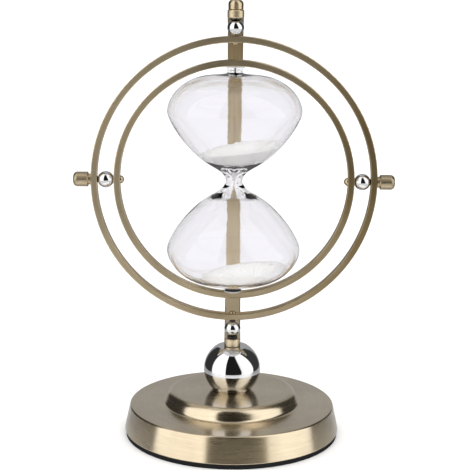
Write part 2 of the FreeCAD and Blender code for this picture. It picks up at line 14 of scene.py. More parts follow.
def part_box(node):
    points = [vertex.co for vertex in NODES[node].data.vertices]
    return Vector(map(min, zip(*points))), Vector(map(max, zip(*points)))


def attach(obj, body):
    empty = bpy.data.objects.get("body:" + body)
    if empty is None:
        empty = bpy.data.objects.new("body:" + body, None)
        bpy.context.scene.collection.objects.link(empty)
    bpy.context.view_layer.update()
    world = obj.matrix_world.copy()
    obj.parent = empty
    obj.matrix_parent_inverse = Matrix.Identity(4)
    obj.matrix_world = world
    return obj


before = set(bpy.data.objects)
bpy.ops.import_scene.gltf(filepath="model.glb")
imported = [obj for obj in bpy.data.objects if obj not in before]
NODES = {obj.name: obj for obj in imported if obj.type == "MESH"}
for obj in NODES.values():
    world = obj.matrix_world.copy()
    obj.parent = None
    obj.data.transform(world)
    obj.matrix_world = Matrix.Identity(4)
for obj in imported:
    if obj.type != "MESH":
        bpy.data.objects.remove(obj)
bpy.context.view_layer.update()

bl_info = {
    "name": "Gimbal hourglass",
    "version": (1, 0, 0),
    "blender": (4, 5, 0),
    "location": "3D View > Sidebar > Hourglass",
    "description": "Finishes, glass, sand and studio of a gimbal hourglass",
    "category": "Add Mesh",
}


def node_box(name):
    """Lowest corner, highest corner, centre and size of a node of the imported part."""
    low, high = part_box(name)
    return low, high, (low + high) / 2, high - low


RING_CENTRE = node_box("outer_ring")[2]
ARM_LOW, ARM_HIGH, _, ARM_SIZE = node_box("c_arm")
ARM_RADIUS = ARM_SIZE.z / 2
ARM_CENTRE = Vector((0, ARM_HIGH.y - ARM_RADIUS, (ARM_LOW.z + ARM_HIGH.z) / 2))
ORIGIN = Vector((0, 0, 0))
GLASS_INDEX = 1.4
# bronze: tone in the middle of the brush lines, how far the patina moves it, and its gloss
MIDDLE_TONE = 0.62
PATINA_SHARE = 0.25
LINE_GLOSS = 0.10
# share of the fine and of the coarse brush lines
LAYER_SHARES = (0.6, 0.4)
# turn of the stretched highlight against the tangent, in whole turns
BRONZE_STREAK_TURN = 0.25
# painted shade: factors that darken the base tones of the side knobs
KNOB_PAINTED_SHADES = {"left_knob": 0.78, "right_knob": 0.72, "top_knob": 1.0}
# steepest slope, as the upward part of its normal, that loose grains lie on
GRAIN_SLOPE = 0.9
GRAIN_DENSITY = 6.0e6
BUBBLE_WANDER = (0.0006, 0.0006, 0.0006)
FLOOR_RADIUS = 40
TABLE_TOP_HEIGHT = 0.00005
# light that reaches matt surfaces, and what is added behind glass
EVEN_LIGHT = 1.9
EVEN_LIGHT_BEHIND_GLASS = 0.2
# degrees from the camera's side (-Y) towards the right (+X), and the room's brightness there
PANEL_STOPS = (
    (-180, 0.42), (-154, 0.42), (-148, 0.04), (-90, 0.04), (-85, 1.6), (-45, 1.6),
    (-28, 1.9), (-25, 0.015), (38, 0.015), (41, 1.2), (60, 1.65), (93, 1.65),
    (98, 0.05), (148, 0.05), (154, 0.42), (180, 0.42),
)
# radius and height above the glass's middle of each ring of bubbles
BUBBLE_RINGS = ((0.0053, 0.005), (0.0053, -0.005), (0.0026, 0.0686), (0.0026, -0.0686))
AXIS_TURNS = {"Z": (0, 0, 0), "Y": (math.pi / 2, 0, 0), "X": (0, -math.pi / 2, 0)}


# ---------------------------------------------------------------- sizes and colours a user may change
class BronzeSettings(bpy.types.PropertyGroup):
    """Brushed antique bronze."""

    dark: FloatVectorProperty(
        name="Dark tone", description="Colour in the brush lines and the patina",
        subtype="COLOR", size=3, min=0, max=1, default=(0.35, 0.25, 0.115),
    )
    light: FloatVectorProperty(
        name="Light tone", description="Colour of the rubbed metal",
        subtype="COLOR", size=3, min=0, max=1, default=(0.73, 0.605, 0.40),
    )
    grain: FloatProperty(
        name="Brush line width", description="Mean width of one brush line",
        subtype="DISTANCE", unit="LENGTH", min=0.0001, max=0.005, default=0.0006,
    )


class GlassSettings(bpy.types.PropertyGroup):
    """Clear blown glass."""

    waviness: FloatProperty(
        name="Waviness", description="How far the blown surface wanders from its true shape",
        subtype="DISTANCE", unit="LENGTH", min=0, max=0.001, default=0.00012,
    )
    bubble_radius: FloatProperty(
        name="Bubble radius", description="Radius of the largest bubble in the thick glass",
        subtype="DISTANCE", unit="LENGTH", min=0.00005, max=0.001, default=0.00045,
    )
    bubble_count: IntProperty(
        name="Bubbles per ring", description="How many bubbles stand in each ring of them",
        min=3, max=60, default=11,
    )


class SandSettings(bpy.types.PropertyGroup):
    """Loose grains on the sand's surface."""

    grain_radius: FloatProperty(
        name="Grain radius", description="Radius of the largest grain",
        subtype="DISTANCE", unit="LENGTH", min=0.0001, max=0.001, default=0.00024,
    )
    spacing: FloatProperty(
        name="Grain spacing", description="Least distance between two grains",
        subtype="DISTANCE", unit="LENGTH", min=0.0003, max=0.005, default=0.00062,
    )
    margin: FloatProperty(
        name="Margin", description="Strip along the glass that is left without loose grains",
        subtype="DISTANCE", unit="LENGTH", min=0, max=0.005, default=0.0004,
    )


class StageSettings(bpy.types.PropertyGroup):
    """Camera, floor and light."""

    camera_distance: FloatProperty(
        name="Camera distance", description="From the axis, along the floor",
        subtype="DISTANCE", unit="LENGTH", min=0.3, max=5, default=0.8,
    )
    camera_height: FloatProperty(
        name="Camera height", description="Above the floor",
        subtype="DISTANCE", unit="LENGTH", min=0, max=3, default=0.294,
    )
    pitch: FloatProperty(
        name="Downward pitch", description="Tilt of the camera below the horizon",
        subtype="ANGLE", unit="ROTATION", default=math.radians(11.57),
    )
    yaw: FloatProperty(
        name="Yaw", description="Turn of the camera to the right",
        subtype="ANGLE", unit="ROTATION", default=math.radians(0.071),
    )
    roll: FloatProperty(
        name="Roll", description="Turn of the camera about its own view",
        subtype="ANGLE", unit="ROTATION", default=math.radians(0.65),
    )
    table_radius: FloatProperty(
        name="Table radius", description="Size of the table top mirrored in the metal",
        subtype="DISTANCE", unit="LENGTH", min=0.1, max=5, default=0.22,
    )
    focal_length: FloatProperty(
        name="Focal length", description="Lens, in millimetres on a 36 mm sensor",
        min=10, max=300, default=98.66,
    )


# ---------------------------------------------------------------- node helpers
def new_material(name):
    """An empty node material with a Principled shader wired to its output."""
    material = bpy.data.materials.new(name)
    material.use_nodes = True
    tree = material.node_tree
    tree.nodes.clear()
    output = tree.nodes.new("ShaderNodeOutputMaterial")
    shader = tree.nodes.new("ShaderNodeBsdfPrincipled")
    tree.links.new(shader.outputs["BSDF"], output.inputs["Surface"])
    return material, tree, shader


def wire(tree, *pairs):
    """Link sockets pair by pair."""
    for source, target in pairs:
        tree.links.new(source, target)


def math_node(tree, operation, first, second=None):
    """A Math node fed by sockets or numbers; returns its output."""
    node = tree.nodes.new("ShaderNodeMath")
    node.operation = operation
    for slot, value in zip(node.inputs, (first, second)):
        if isinstance(value, bpy.types.NodeSocket):
            tree.links.new(value, slot)
        elif value is not None:
            slot.default_value = value
    return node.outputs[0]


def mix_colours(tree, share, first, second):
    """A colour mix fed by sockets or values; returns its output."""
    node = tree.nodes.new("ShaderNodeMix")
    node.data_type = "RGBA"
    for slot, value in ((node.inputs[0], share), (node.inputs[6], first), (node.inputs[7], second)):
        if isinstance(value, bpy.types.NodeSocket):
            tree.links.new(value, slot)
        else:
            slot.default_value = value if isinstance(value, float) else (*value, 1)
    return node.outputs[2]


def group_with(name, inputs, outputs):
    """A new shader node group with named sockets, and its two end nodes."""
    tree = bpy.data.node_groups.new(name, "ShaderNodeTree")
    for label, kind, default in inputs:
        socket = tree.interface.new_socket(name=label, in_out="INPUT", socket_type=kind)
        if default is not None:
            socket.default_value = default
    for label, kind in outputs:
        tree.interface.new_socket(name=label, in_out="OUTPUT", socket_type=kind)
    return tree, tree.nodes.new("NodeGroupInput"), tree.nodes.new("NodeGroupOutput")


def put_group(tree, group, **values):
    """Place a group in a material and set its inputs; an underscore stands for a blank."""
    node = tree.nodes.new("ShaderNodeGroup")
    node.node_tree = group
    for label, value in values.items():
        socket = node.inputs[label.replace("_", " ")]
        if isinstance(value, bpy.types.NodeSocket):
            tree.links.new(value, socket)
        else:
            socket.default_value = value
    return node


def object_place(tree, centre=ORIGIN, axis="Z"):
    """Object coordinates moved to a centre and turned so that the given axis becomes Z."""
    coordinates = tree.nodes.new("ShaderNodeTexCoord")
    mapping = tree.nodes.new("ShaderNodeMapping")
    turn = Euler(AXIS_TURNS[axis])
    mapping.inputs["Rotation"].default_value = turn
    mapping.inputs["Location"].default_value = -(turn.to_matrix() @ Vector(centre))
    tree.links.new(coordinates.outputs["Object"], mapping.inputs["Vector"])
    return mapping.outputs["Vector"]


# ---------------------------------------------------------------- shared effects
def brushed_group():
    """Fine lines that run round the Z axis, as a wheel or a lathe leaves them."""
    tree, start, end = group_with(
        "brushed_lines",
        [
            ("Place", "NodeSocketVector", None),
            ("Line Width", "NodeSocketFloat", 0.0006),
            ("Streaks per Turn", "NodeSocketFloat", 3.0),
            ("Waver", "NodeSocketFloat", 0.0),
        ],
        [("Lines", "NodeSocketFloat"), ("Patina", "NodeSocketFloat")],
    )
    split = tree.nodes.new("ShaderNodeSeparateXYZ")
    flat = tree.nodes.new("ShaderNodeVectorMath")
    flat.operation = "MULTIPLY"
    flat.inputs[1].default_value = (1, 1, 0)
    length = tree.nodes.new("ShaderNodeVectorMath")
    length.operation = "LENGTH"
    unit = tree.nodes.new("ShaderNodeVectorMath")
    unit.operation = "NORMALIZE"
    wire(
        tree,
        (start.outputs["Place"], split.inputs[0]),
        (start.outputs["Place"], flat.inputs[0]),
        (flat.outputs[0], length.inputs[0]),
        (flat.outputs[0], unit.inputs[0]),
    )
    # lines wander a little from true circles
    wander = tree.nodes.new("ShaderNodeTexNoise")
    wander.inputs["Scale"].default_value = 60
    wire(tree, (start.outputs["Place"], wander.inputs["Vector"]))
    drift = math_node(tree, "MULTIPLY", wander.outputs[0], start.outputs["Waver"])
    radius = math_node(tree, "ADD", length.outputs["Value"], drift)
    height = math_node(tree, "ADD", split.outputs["Z"], drift)
    direction = tree.nodes.new("ShaderNodeVectorMath")
    direction.operation = "SCALE"
    wire(
        tree,
        (unit.outputs[0], direction.inputs[0]),
        (start.outputs["Streaks per Turn"], direction.inputs["Scale"]),
    )
    parts = tree.nodes.new("ShaderNodeSeparateXYZ")
    wire(tree, (direction.outputs[0], parts.inputs[0]))
    layers = []
    for coarser, detail in ((1.0, 3.0), (5.0, 2.0)):
        width = math_node(tree, "MULTIPLY", start.outputs["Line Width"], coarser)
        across = tree.nodes.new("ShaderNodeCombineXYZ")
        wire(
            tree,
            (parts.outputs["X"], across.inputs["X"]),
            (parts.outputs["Y"], across.inputs["Y"]),
            (math_node(tree, "DIVIDE", radius, width), across.inputs["Z"]),
        )
        noise = tree.nodes.new("ShaderNodeTexNoise")
        noise.noise_dimensions = "4D"
        noise.inputs["Scale"].default_value = 1
        noise.inputs["Detail"].default_value = detail
        noise.inputs["Roughness"].default_value = 0.6
        wire(
            tree,
            (across.outputs[0], noise.inputs["Vector"]),
            (math_node(tree, "DIVIDE", height, width), noise.inputs["W"]),
        )
        layers.append(noise.outputs[0])
    fine, coarse = (
        math_node(tree, "MULTIPLY", layer, share) for layer, share in zip(layers, LAYER_SHARES)
    )
    lines = math_node(tree, "ADD", fine, coarse)
    patina = tree.nodes.new("ShaderNodeTexNoise")
    patina.inputs["Scale"].default_value = 35
    patina.inputs["Detail"].default_value = 4
    wire(
        tree,
        (start.outputs["Place"], patina.inputs["Vector"]),
        (lines, end.inputs["Lines"]),
        (patina.outputs[0], end.inputs["Patina"]),
    )
    return tree


def spread(tree, value, low, high):
    """Stretch a noise value so that the given band covers 0 to 1."""
    node = tree.nodes.new("ShaderNodeMapRange")
    node.inputs["From Min"].default_value = low
    node.inputs["From Max"].default_value = high
    wire(tree, (value, node.inputs["Value"]))
    return node.outputs[0]


def bronze_material(
    name, centre, axis, dark, light, roughness, line,
    streaks=3.0, contrast=0.5, stretch=0.8, coat=1.0, coat_index=1.75, painted_shading=(),
):
    """Brushed antique bronze whose lines run round an axis through a centre.

    Each item of the painted shading list (axis, first place, last place, amount) lightens or darkens the
    tone between two places as painted light and shade.
    The amounts are fitted to the brightness seen from the front, and turn with the piece.
    """
    material, tree, shader = new_material(name)
    place = object_place(tree, centre, axis)
    brushed = put_group(
        tree, shared("brushed_lines", brushed_group), Place=place, Line_Width=line,
        Streaks_per_Turn=streaks, Waver=0.3 * line,
    )
    lines = spread(tree, brushed.outputs["Lines"], 0.3, 0.7)
    patina = spread(tree, brushed.outputs["Patina"], 0.35, 0.65)
    tone = math_node(tree, "MULTIPLY", math_node(tree, "SUBTRACT", lines, 0.5), contrast)
    tone = math_node(tree, "ADD", tone, MIDDLE_TONE)
    mottle = math_node(tree, "MULTIPLY", math_node(tree, "SUBTRACT", patina, 0.5), PATINA_SHARE)
    tone = math_node(tree, "ADD", tone, mottle)
    # painted light and shade: bands along an axis that lighten or darken the bronze tone
    if painted_shading:
        where = place_node(tree, "ShaderNodeSeparateXYZ", {"Vector": object_place(tree)})
    for direction, first, last, amount in painted_shading:
        painted_band = spread(tree, where.outputs[direction], first, last)
        tone = math_node(tree, "ADD", tone, math_node(tree, "MULTIPLY", painted_band, amount))
    clamp = tree.nodes.new("ShaderNodeClamp")
    wire(tree, (tone, clamp.inputs[0]))
    colour = mix_colours(tree, clamp.outputs[0], tuple(dark), tuple(light))
    shine = math_node(tree, "MULTIPLY", lines, -LINE_GLOSS)
    gloss = math_node(tree, "ADD", shine, roughness + LINE_GLOSS / 2)
    bump = tree.nodes.new("ShaderNodeBump")
    bump.inputs["Strength"].default_value = 0.15
    bump.inputs["Distance"].default_value = 0.00002
    tangent = tree.nodes.new("ShaderNodeTangent")
    tangent.direction_type = "RADIAL"
    tangent.axis = axis
    shader.inputs["Metallic"].default_value = 1
    shader.inputs["Coat Weight"].default_value = coat
    shader.inputs["Coat IOR"].default_value = coat_index
    shader.inputs["Coat Roughness"].default_value = 0.15
    shader.inputs["Anisotropic"].default_value = stretch
    shader.inputs["Anisotropic Rotation"].default_value = BRONZE_STREAK_TURN
    wire(
        tree,
        (colour, shader.inputs["Base Color"]),
        (gloss, shader.inputs["Roughness"]),
        (lines, bump.inputs["Height"]),
        (bump.outputs[0], shader.inputs["Normal"]),
        (tangent.outputs[0], shader.inputs["Tangent"]),
    )
    return material


_shared = {}


def shared(name, build):
    """A node group that is built once and then reused."""
    if name not in _shared:
        _shared[name] = build()
    return _shared[name]


def finish_node(name, material):
    """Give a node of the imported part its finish."""
    node = NODES[name]
    node.data.materials.clear()
    node.data.materials.append(material)


def plain_metal(name, colour, roughness):
    """Small turned or rolled metal with faint mottling."""
    material, tree, shader = new_material(name)
    noise = tree.nodes.new("ShaderNodeTexNoise")
    noise.inputs["Scale"].default_value = 900
    noise.inputs["Detail"].default_value = 4
    place = object_place(tree)
    wire(tree, (place, noise.inputs["Vector"]))
    darker = tuple(0.8 * part for part in colour)
    lighter = tuple(min(1, 1.15 * part) for part in colour)
    shade = mix_colours(tree, noise.outputs[0], darker, lighter)
    rough = math_node(tree, "ADD", math_node(tree, "MULTIPLY", noise.outputs[0], 0.12), roughness - 0.06)
    shader.inputs["Metallic"].default_value = 1
    wire(tree, (shade, shader.inputs["Base Color"]), (rough, shader.inputs["Roughness"]))
    return material


# ---------------------------------------------------------------- pieces grown by a geometry tree
def geometry_tree(name, inputs):
    """A geometry tree whose named inputs follow its incoming mesh, with its two end nodes."""
    tree = bpy.data.node_groups.new(name, "GeometryNodeTree")
    for direction in ("INPUT", "OUTPUT"):
        tree.interface.new_socket(name="Geometry", in_out=direction, socket_type="NodeSocketGeometry")
    for label, kind in inputs:
        tree.interface.new_socket(name=label, in_out="INPUT", socket_type=kind)
    return tree, tree.nodes.new("NodeGroupInput").outputs, tree.nodes.new("NodeGroupOutput").inputs


def place_node(tree, kind, inputs=None, **settings):
    """Add a node, set it up and feed its shown inputs, by name, with sockets or values."""
    node = tree.nodes.new(kind)
    for name, value in settings.items():
        setattr(node, name, value)
    for name, value in (inputs or {}).items():
        socket = next(item for item in node.inputs if item.enabled and item.name == name)
        if isinstance(value, bpy.types.NodeSocket):
            tree.links.new(value, socket)
        else:
            socket.default_value = value
    return node


def shown_output(node):
    """The first output that the node's settings leave in use."""
    return next(item for item in node.outputs if item.enabled)


def random_value(tree, kind, low, high, seed):
    """A random value for each point, from a seed that is given."""
    return shown_output(place_node(
        tree, "FunctionNodeRandomValue", {"Min": low, "Max": high, "Seed": seed}, data_type=kind,
    ))


def finish_tree(tree, instances, given, end):
    """Close a tree: real geometry, smooth shading and the material."""
    real = place_node(tree, "GeometryNodeRealizeInstances", {"Geometry": instances})
    smooth = place_node(tree, "GeometryNodeSetShadeSmooth", {"Geometry": real.outputs[0]})
    painted = place_node(
        tree, "GeometryNodeSetMaterial", {"Geometry": smooth.outputs[0], "Material": given["Material"]},
    )
    wire(tree, (painted.outputs[0], end["Geometry"]))


def grain_tree():
    """Grains scattered over the upward faces of a mesh, clear of its sides."""
    tree, given, end = geometry_tree(
        "sand_grains",
        [
            ("Grain Radius", "NodeSocketFloat"),
            ("Spacing", "NodeSocketFloat"),
            ("Margin", "NodeSocketFloat"),
            ("Seed", "NodeSocketInt"),
            ("Material", "NodeSocketMaterial"),
        ],
    )
    normal = place_node(tree, "GeometryNodeInputNormal")
    split = place_node(tree, "ShaderNodeSeparateXYZ", {"Vector": normal.outputs[0]})
    upward = math_node(tree, "GREATER_THAN", split.outputs["Z"], GRAIN_SLOPE)
    sides = place_node(
        tree, "GeometryNodeSeparateGeometry",
        {"Geometry": given["Geometry"], "Selection": upward}, domain="FACE",
    )
    points = place_node(
        tree, "GeometryNodeDistributePointsOnFaces",
        {
            "Mesh": given["Geometry"], "Selection": upward, "Distance Min": given["Spacing"],
            "Density Max": GRAIN_DENSITY, "Seed": given["Seed"],
        },
        distribute_method="POISSON",
    )
    near = place_node(
        tree, "GeometryNodeProximity", {"Geometry": sides.outputs["Inverted"]}, target_element="FACES",
    )
    clear = math_node(tree, "GREATER_THAN", near.outputs["Distance"], given["Margin"])
    grain = place_node(
        tree, "GeometryNodeMeshIcoSphere", {"Radius": given["Grain Radius"], "Subdivisions": 1},
    )
    seed = given["Seed"]
    grains = place_node(
        tree, "GeometryNodeInstanceOnPoints",
        {
            "Points": points.outputs["Points"], "Selection": clear, "Instance": grain.outputs["Mesh"],
            "Rotation": random_value(tree, "FLOAT_VECTOR", (0, 0, 0), (math.tau,) * 3, seed),
            "Scale": random_value(tree, "FLOAT", 0.55, 1.0, seed),
        },
    )
    finish_tree(tree, grains.outputs[0], given, end)
    return tree


def bubble_tree():
    """Small bubbles strung along a level circle, each a little out of line."""
    tree, given, end = geometry_tree(
        "glass_bubbles",
        [
            ("Centre", "NodeSocketVector"),
            ("Ring Radius", "NodeSocketFloat"),
            ("Count", "NodeSocketInt"),
            ("Bubble Radius", "NodeSocketFloat"),
            ("Wander", "NodeSocketVector"),
            ("Seed", "NodeSocketInt"),
            ("Material", "NodeSocketMaterial"),
        ],
    )
    circle = place_node(
        tree, "GeometryNodeMeshCircle", {"Vertices": given["Count"], "Radius": given["Ring Radius"]},
    )
    back = place_node(
        tree, "ShaderNodeVectorMath", {"Vector": given["Wander"], "Scale": -1.0}, operation="SCALE",
    )
    wander = random_value(tree, "FLOAT_VECTOR", back.outputs[0], given["Wander"], given["Seed"])
    shift = tree.nodes.new("ShaderNodeVectorMath")
    wire(tree, (given["Centre"], shift.inputs[0]), (wander, shift.inputs[1]))
    moved = place_node(
        tree, "GeometryNodeSetPosition", {"Geometry": circle.outputs[0], "Offset": shift.outputs[0]},
    )
    bubble = place_node(
        tree, "GeometryNodeMeshIcoSphere", {"Radius": given["Bubble Radius"], "Subdivisions": 3},
    )
    bubbles = place_node(
        tree, "GeometryNodeInstanceOnPoints",
        {
            "Points": moved.outputs[0], "Instance": bubble.outputs["Mesh"],
            "Scale": random_value(tree, "FLOAT", 0.4, 1.0, given["Seed"]),
        },
    )
    finish_tree(tree, bubbles.outputs[0], given, end)
    return tree


def grow(source, tree, **values):
    """Run a geometry tree over a mesh and return the outcome as a plain mesh."""
    carrier = bpy.data.objects.new("carrier", source)
    bpy.context.scene.collection.objects.link(carrier)
    modifier = carrier.modifiers.new("grow", "NODES")
    modifier.node_group = tree
    for item in tree.interface.items_tree:
        label = item.name.replace(" ", "_")
        if item.in_out == "INPUT" and label in values:
            modifier[item.identifier] = values[label]
    depsgraph = bpy.context.evaluated_depsgraph_get()
    mesh = bpy.data.meshes.new_from_object(carrier.evaluated_get(depsgraph), depsgraph=depsgraph)
    bpy.data.objects.remove(carrier)
    return mesh


def add_piece(name, mesh, body):
    """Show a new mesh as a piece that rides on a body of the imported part."""
    mesh.name = name
    thing = bpy.data.objects.new(name, mesh)
    bpy.context.scene.collection.objects.link(thing)
    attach(thing, body)
    return thing


# ---------------------------------------------------------------- operators
class HourglassOperator:
    """What all the operators share."""

    bl_options = {"REGISTER", "UNDO"}


class HOURGLASS_OT_base(HourglassOperator, bpy.types.Operator):
    """Finish the spun base cover and its foot pad"""

    bl_idname = "hourglass.base"
    bl_label = "Base cover and foot pad"

    def execute(self, context):
        bronze = context.scene.hourglass_bronze
        material = bronze_material(
            "bronze_spun_base", ORIGIN, "Z", bronze.dark, bronze.light, 0.25, bronze.grain,
            streaks=2.2, contrast=0.3, stretch=0.88, coat_index=2.15,
        )
        finish_node("base_shell", material)
        pad, tree, shader = new_material("foot_pad_black")
        noise = tree.nodes.new("ShaderNodeTexNoise")
        noise.inputs["Scale"].default_value = 1500
        wire(tree, (object_place(tree), noise.inputs["Vector"]))
        colour = mix_colours(tree, noise.outputs[0], (0.004, 0.004, 0.005), (0.016, 0.016, 0.016))
        shader.inputs["Specular IOR Level"].default_value = 0.15
        bump = tree.nodes.new("ShaderNodeBump")
        bump.inputs["Distance"].default_value = 0.0002
        shader.inputs["Roughness"].default_value = 0.9
        wire(
            tree,
            (colour, shader.inputs["Base Color"]),
            (noise.outputs[0], bump.inputs["Height"]),
            (bump.outputs[0], shader.inputs["Normal"]),
        )
        finish_node("base_pad", pad)
        return {"FINISHED"}


class HOURGLASS_OT_balls(HourglassOperator, bpy.types.Operator):
    """Finish the big ball and the four spacer balls in polished chrome"""

    bl_idname = "hourglass.balls"
    bl_label = "Chrome balls"

    def execute(self, context):
        chrome, tree, shader = new_material("chrome_polished")
        noise = tree.nodes.new("ShaderNodeTexNoise")
        noise.inputs["Scale"].default_value = 260
        noise.inputs["Detail"].default_value = 6
        wire(tree, (object_place(tree), noise.inputs["Vector"]))
        rough = math_node(tree, "MULTIPLY", spread(tree, noise.outputs[0], 0.45, 0.8), 0.06)
        rough = math_node(tree, "ADD", rough, 0.015)
        colour = mix_colours(tree, noise.outputs[0], (0.68, 0.68, 0.69), (0.73, 0.73, 0.73))
        shader.inputs["Metallic"].default_value = 1
        wire(tree, (colour, shader.inputs["Base Color"]), (rough, shader.inputs["Roughness"]))
        for place in ("stand", "left_spacer", "right_spacer", "upper_spacer", "lower_spacer"):
            finish_node(f"{place}_ball", chrome)
        return {"FINISHED"}


class HOURGLASS_OT_arm(HourglassOperator, bpy.types.Operator):
    """Finish the C-shaped arm"""

    bl_idname = "hourglass.arm"
    bl_label = "Arm"

    def execute(self, context):
        bronze = context.scene.hourglass_bronze
        # painted shade and painted highlight: the arm's tone is darkened high up, lightened again at its
        # top end and lightened towards its lower end
        material = bronze_material(
            "bronze_arm", ARM_CENTRE, "X", bronze.dark, bronze.light, 0.42, bronze.grain,
            coat=0.5, painted_shading=(
                ("Z", 0.205, 0.245, -0.62), ("Z", 0.262, 0.266, 0.8), ("Z", 0.14, 0.09, 0.5),
            ),
        )
        finish_node("c_arm", material)
        return {"FINISHED"}


class HOURGLASS_OT_rings(HourglassOperator, bpy.types.Operator):
    """Finish the two rings"""

    bl_idname = "hourglass.rings"
    bl_label = "Rings"

    def execute(self, context):
        bronze = context.scene.hourglass_bronze
        # painted shade and painted highlight: the rings are darkened on their right side and lightened
        # on their left side and at the top
        material = bronze_material(
            "bronze_rings", RING_CENTRE, "Y", bronze.dark, bronze.light, 0.30, bronze.grain,
            stretch=0.85, coat=0.25,
            painted_shading=(("X", 0.02, 0.085, -0.6), ("X", -0.02, -0.085, 0.25), ("Z", 0.2, 0.25, 0.2)),
        )
        for name in ("outer_ring", "inner_ring"):
            finish_node(name, material)
        return {"FINISHED"}


class HOURGLASS_OT_pivots(HourglassOperator, bpy.types.Operator):
    """Finish the knobs, screws, washers and necks of the pivots"""

    bl_idname = "hourglass.pivots"
    bl_label = "Pivots"

    def execute(self, context):
        bronze = context.scene.hourglass_bronze
        for name, shade in KNOB_PAINTED_SHADES.items():
            axis, centre = ("Z", ORIGIN) if name == "top_knob" else ("X", RING_CENTRE)
            # painted shade: each knob's dark and light tones are scaled by its shade factor
            dark, light = (
                tuple(shade * part for part in tone) for tone in (bronze.dark, bronze.light)
            )
            material = bronze_material(
                f"bronze_{name}", centre, axis, dark, light, 0.36, bronze.grain, coat=0.5,
            )
            finish_node(name, material)
            if axis == "X":
                finish_node(name.replace("knob", "washer"), material)
        steel = plain_metal("blackened_steel_turned", (0.05, 0.045, 0.04), 0.35)
        for name in ("upper", "lower"):
            finish_node(f"{name}_washer", steel)
        for name in ("left", "right", "lower"):
            finish_node(f"{name}_neck_bush", steel)
        screw = plain_metal("screw_bronze_polished", (0.55, 0.44, 0.29), 0.22)
        for name in ("left", "right", "upper", "lower"):
            finish_node(f"{name}_pivot_screw", screw)
        return {"FINISHED"}


class HOURGLASS_OT_inside(HourglassOperator, bpy.types.Operator):
    """Finish the weight, bolt and washer inside the base"""

    bl_idname = "hourglass.inside"
    bl_label = "Inside of the base"

    def execute(self, context):
        finish_node("base_weight", plain_metal("cast_iron", (0.10, 0.10, 0.11), 0.7))
        steel = plain_metal("zinc_steel", (0.55, 0.56, 0.58), 0.35)
        for name in ("base_bolt", "bolt_washer"):
            finish_node(name, steel)
        return {"FINISHED"}


class HOURGLASS_OT_glass(HourglassOperator, bpy.types.Operator):
    """Finish the glass bulb and the clear pads at its ends"""

    bl_idname = "hourglass.glass"
    bl_label = "Glass"

    def execute(self, context):
        settings = context.scene.hourglass_glass
        glass, tree, shader = new_material("clear_blown_glass")
        shader.inputs["Base Color"].default_value = (0.972, 0.970, 0.981, 1)
        shader.inputs["Roughness"].default_value = 0.0
        shader.inputs["IOR"].default_value = GLASS_INDEX
        shader.inputs["Transmission Weight"].default_value = 1
        noise = tree.nodes.new("ShaderNodeTexNoise")
        noise.inputs["Scale"].default_value = 45
        noise.inputs["Detail"].default_value = 2
        bump = tree.nodes.new("ShaderNodeBump")
        bump.inputs["Distance"].default_value = settings.waviness
        wire(
            tree,
            (object_place(tree), noise.inputs["Vector"]),
            (noise.outputs[0], bump.inputs["Height"]),
            (bump.outputs[0], shader.inputs["Normal"]),
        )
        finish_node("glass_bulb", glass)
        pad, tree, shader = new_material("clear_adhesive_pad")
        cloud = tree.nodes.new("ShaderNodeTexNoise")
        cloud.inputs["Scale"].default_value = 700
        wire(tree, (object_place(tree), cloud.inputs["Vector"]))
        milky = mix_colours(tree, cloud.outputs[0], (0.86, 0.87, 0.88), (0.96, 0.96, 0.96))
        wire(tree, (milky, shader.inputs["Base Color"]))
        shader.inputs["Roughness"].default_value = 0.35
        shader.inputs["IOR"].default_value = 1.3
        shader.inputs["Transmission Weight"].default_value = 0.5
        for name in ("upper_glass_seat", "lower_glass_seat"):
            finish_node(name, pad)
        self.bubbles(settings)
        return {"FINISHED"}

    def bubbles(self, settings):
        """Rings of small bubbles in the thick glass at the neck and in the stubs."""
        air, _, shader = new_material("air_bubble")
        shader.inputs["Base Color"].default_value = (1, 1, 1, 1)
        shader.inputs["Roughness"].default_value = 0
        shader.inputs["IOR"].default_value = 1 / GLASS_INDEX
        shader.inputs["Transmission Weight"].default_value = 1
        tree = bubble_tree()
        centre = node_box("glass_bulb")[2]
        joined = bmesh.new()
        for seed, (radius, height) in enumerate(BUBBLE_RINGS):
            grown = grow(
                bpy.data.meshes.new("bubble_seed"), tree, Centre=(*centre.xy, centre.z + height),
                Ring_Radius=radius, Count=settings.bubble_count, Bubble_Radius=settings.bubble_radius,
                Wander=BUBBLE_WANDER, Seed=seed, Material=air,
            )
            joined.from_mesh(grown)
        mesh = bpy.data.meshes.new("glass_bubbles")
        joined.to_mesh(mesh)
        joined.free()
        mesh.materials.append(air)
        add_piece("glass_bubbles", mesh, "inner_gimbal")


class HOURGLASS_OT_sand(HourglassOperator, bpy.types.Operator):
    """Finish the sand in both bulbs"""

    bl_idname = "hourglass.sand"
    bl_label = "Sand"

    def execute(self, context):
        sand, tree, shader = new_material("white_quartz_sand")
        grains = tree.nodes.new("ShaderNodeTexVoronoi")
        grains.inputs["Scale"].default_value = 2600
        wire(tree, (object_place(tree), grains.inputs["Vector"]))
        colour = mix_colours(tree, grains.outputs["Distance"], (0.94, 0.94, 0.915), (0.86, 0.855, 0.82))
        bump = tree.nodes.new("ShaderNodeBump")
        bump.inputs["Strength"].default_value = 0.5
        bump.inputs["Distance"].default_value = 0.0002
        shader.inputs["Roughness"].default_value = 0.8
        shader.inputs["Subsurface Weight"].default_value = 0.7
        shader.inputs["Subsurface Radius"].default_value = (1.0, 1.0, 0.95)
        shader.inputs["Subsurface Scale"].default_value = 0.004
        wire(
            tree,
            (colour, shader.inputs["Base Color"]),
            (grains.outputs["Distance"], bump.inputs["Height"]),
            (bump.outputs[0], shader.inputs["Normal"]),
        )
        settings = context.scene.hourglass_sand
        tree = grain_tree()
        for seed, name in enumerate(("upper_sand", "lower_sand")):
            finish_node(name, sand)
            mesh = grow(
                NODES[name].data.copy(), tree, Grain_Radius=settings.grain_radius,
                Spacing=settings.spacing, Margin=settings.margin, Seed=seed, Material=sand,
            )
            add_piece(f"{name}_grains", mesh, "inner_gimbal")
        return {"FINISHED"}


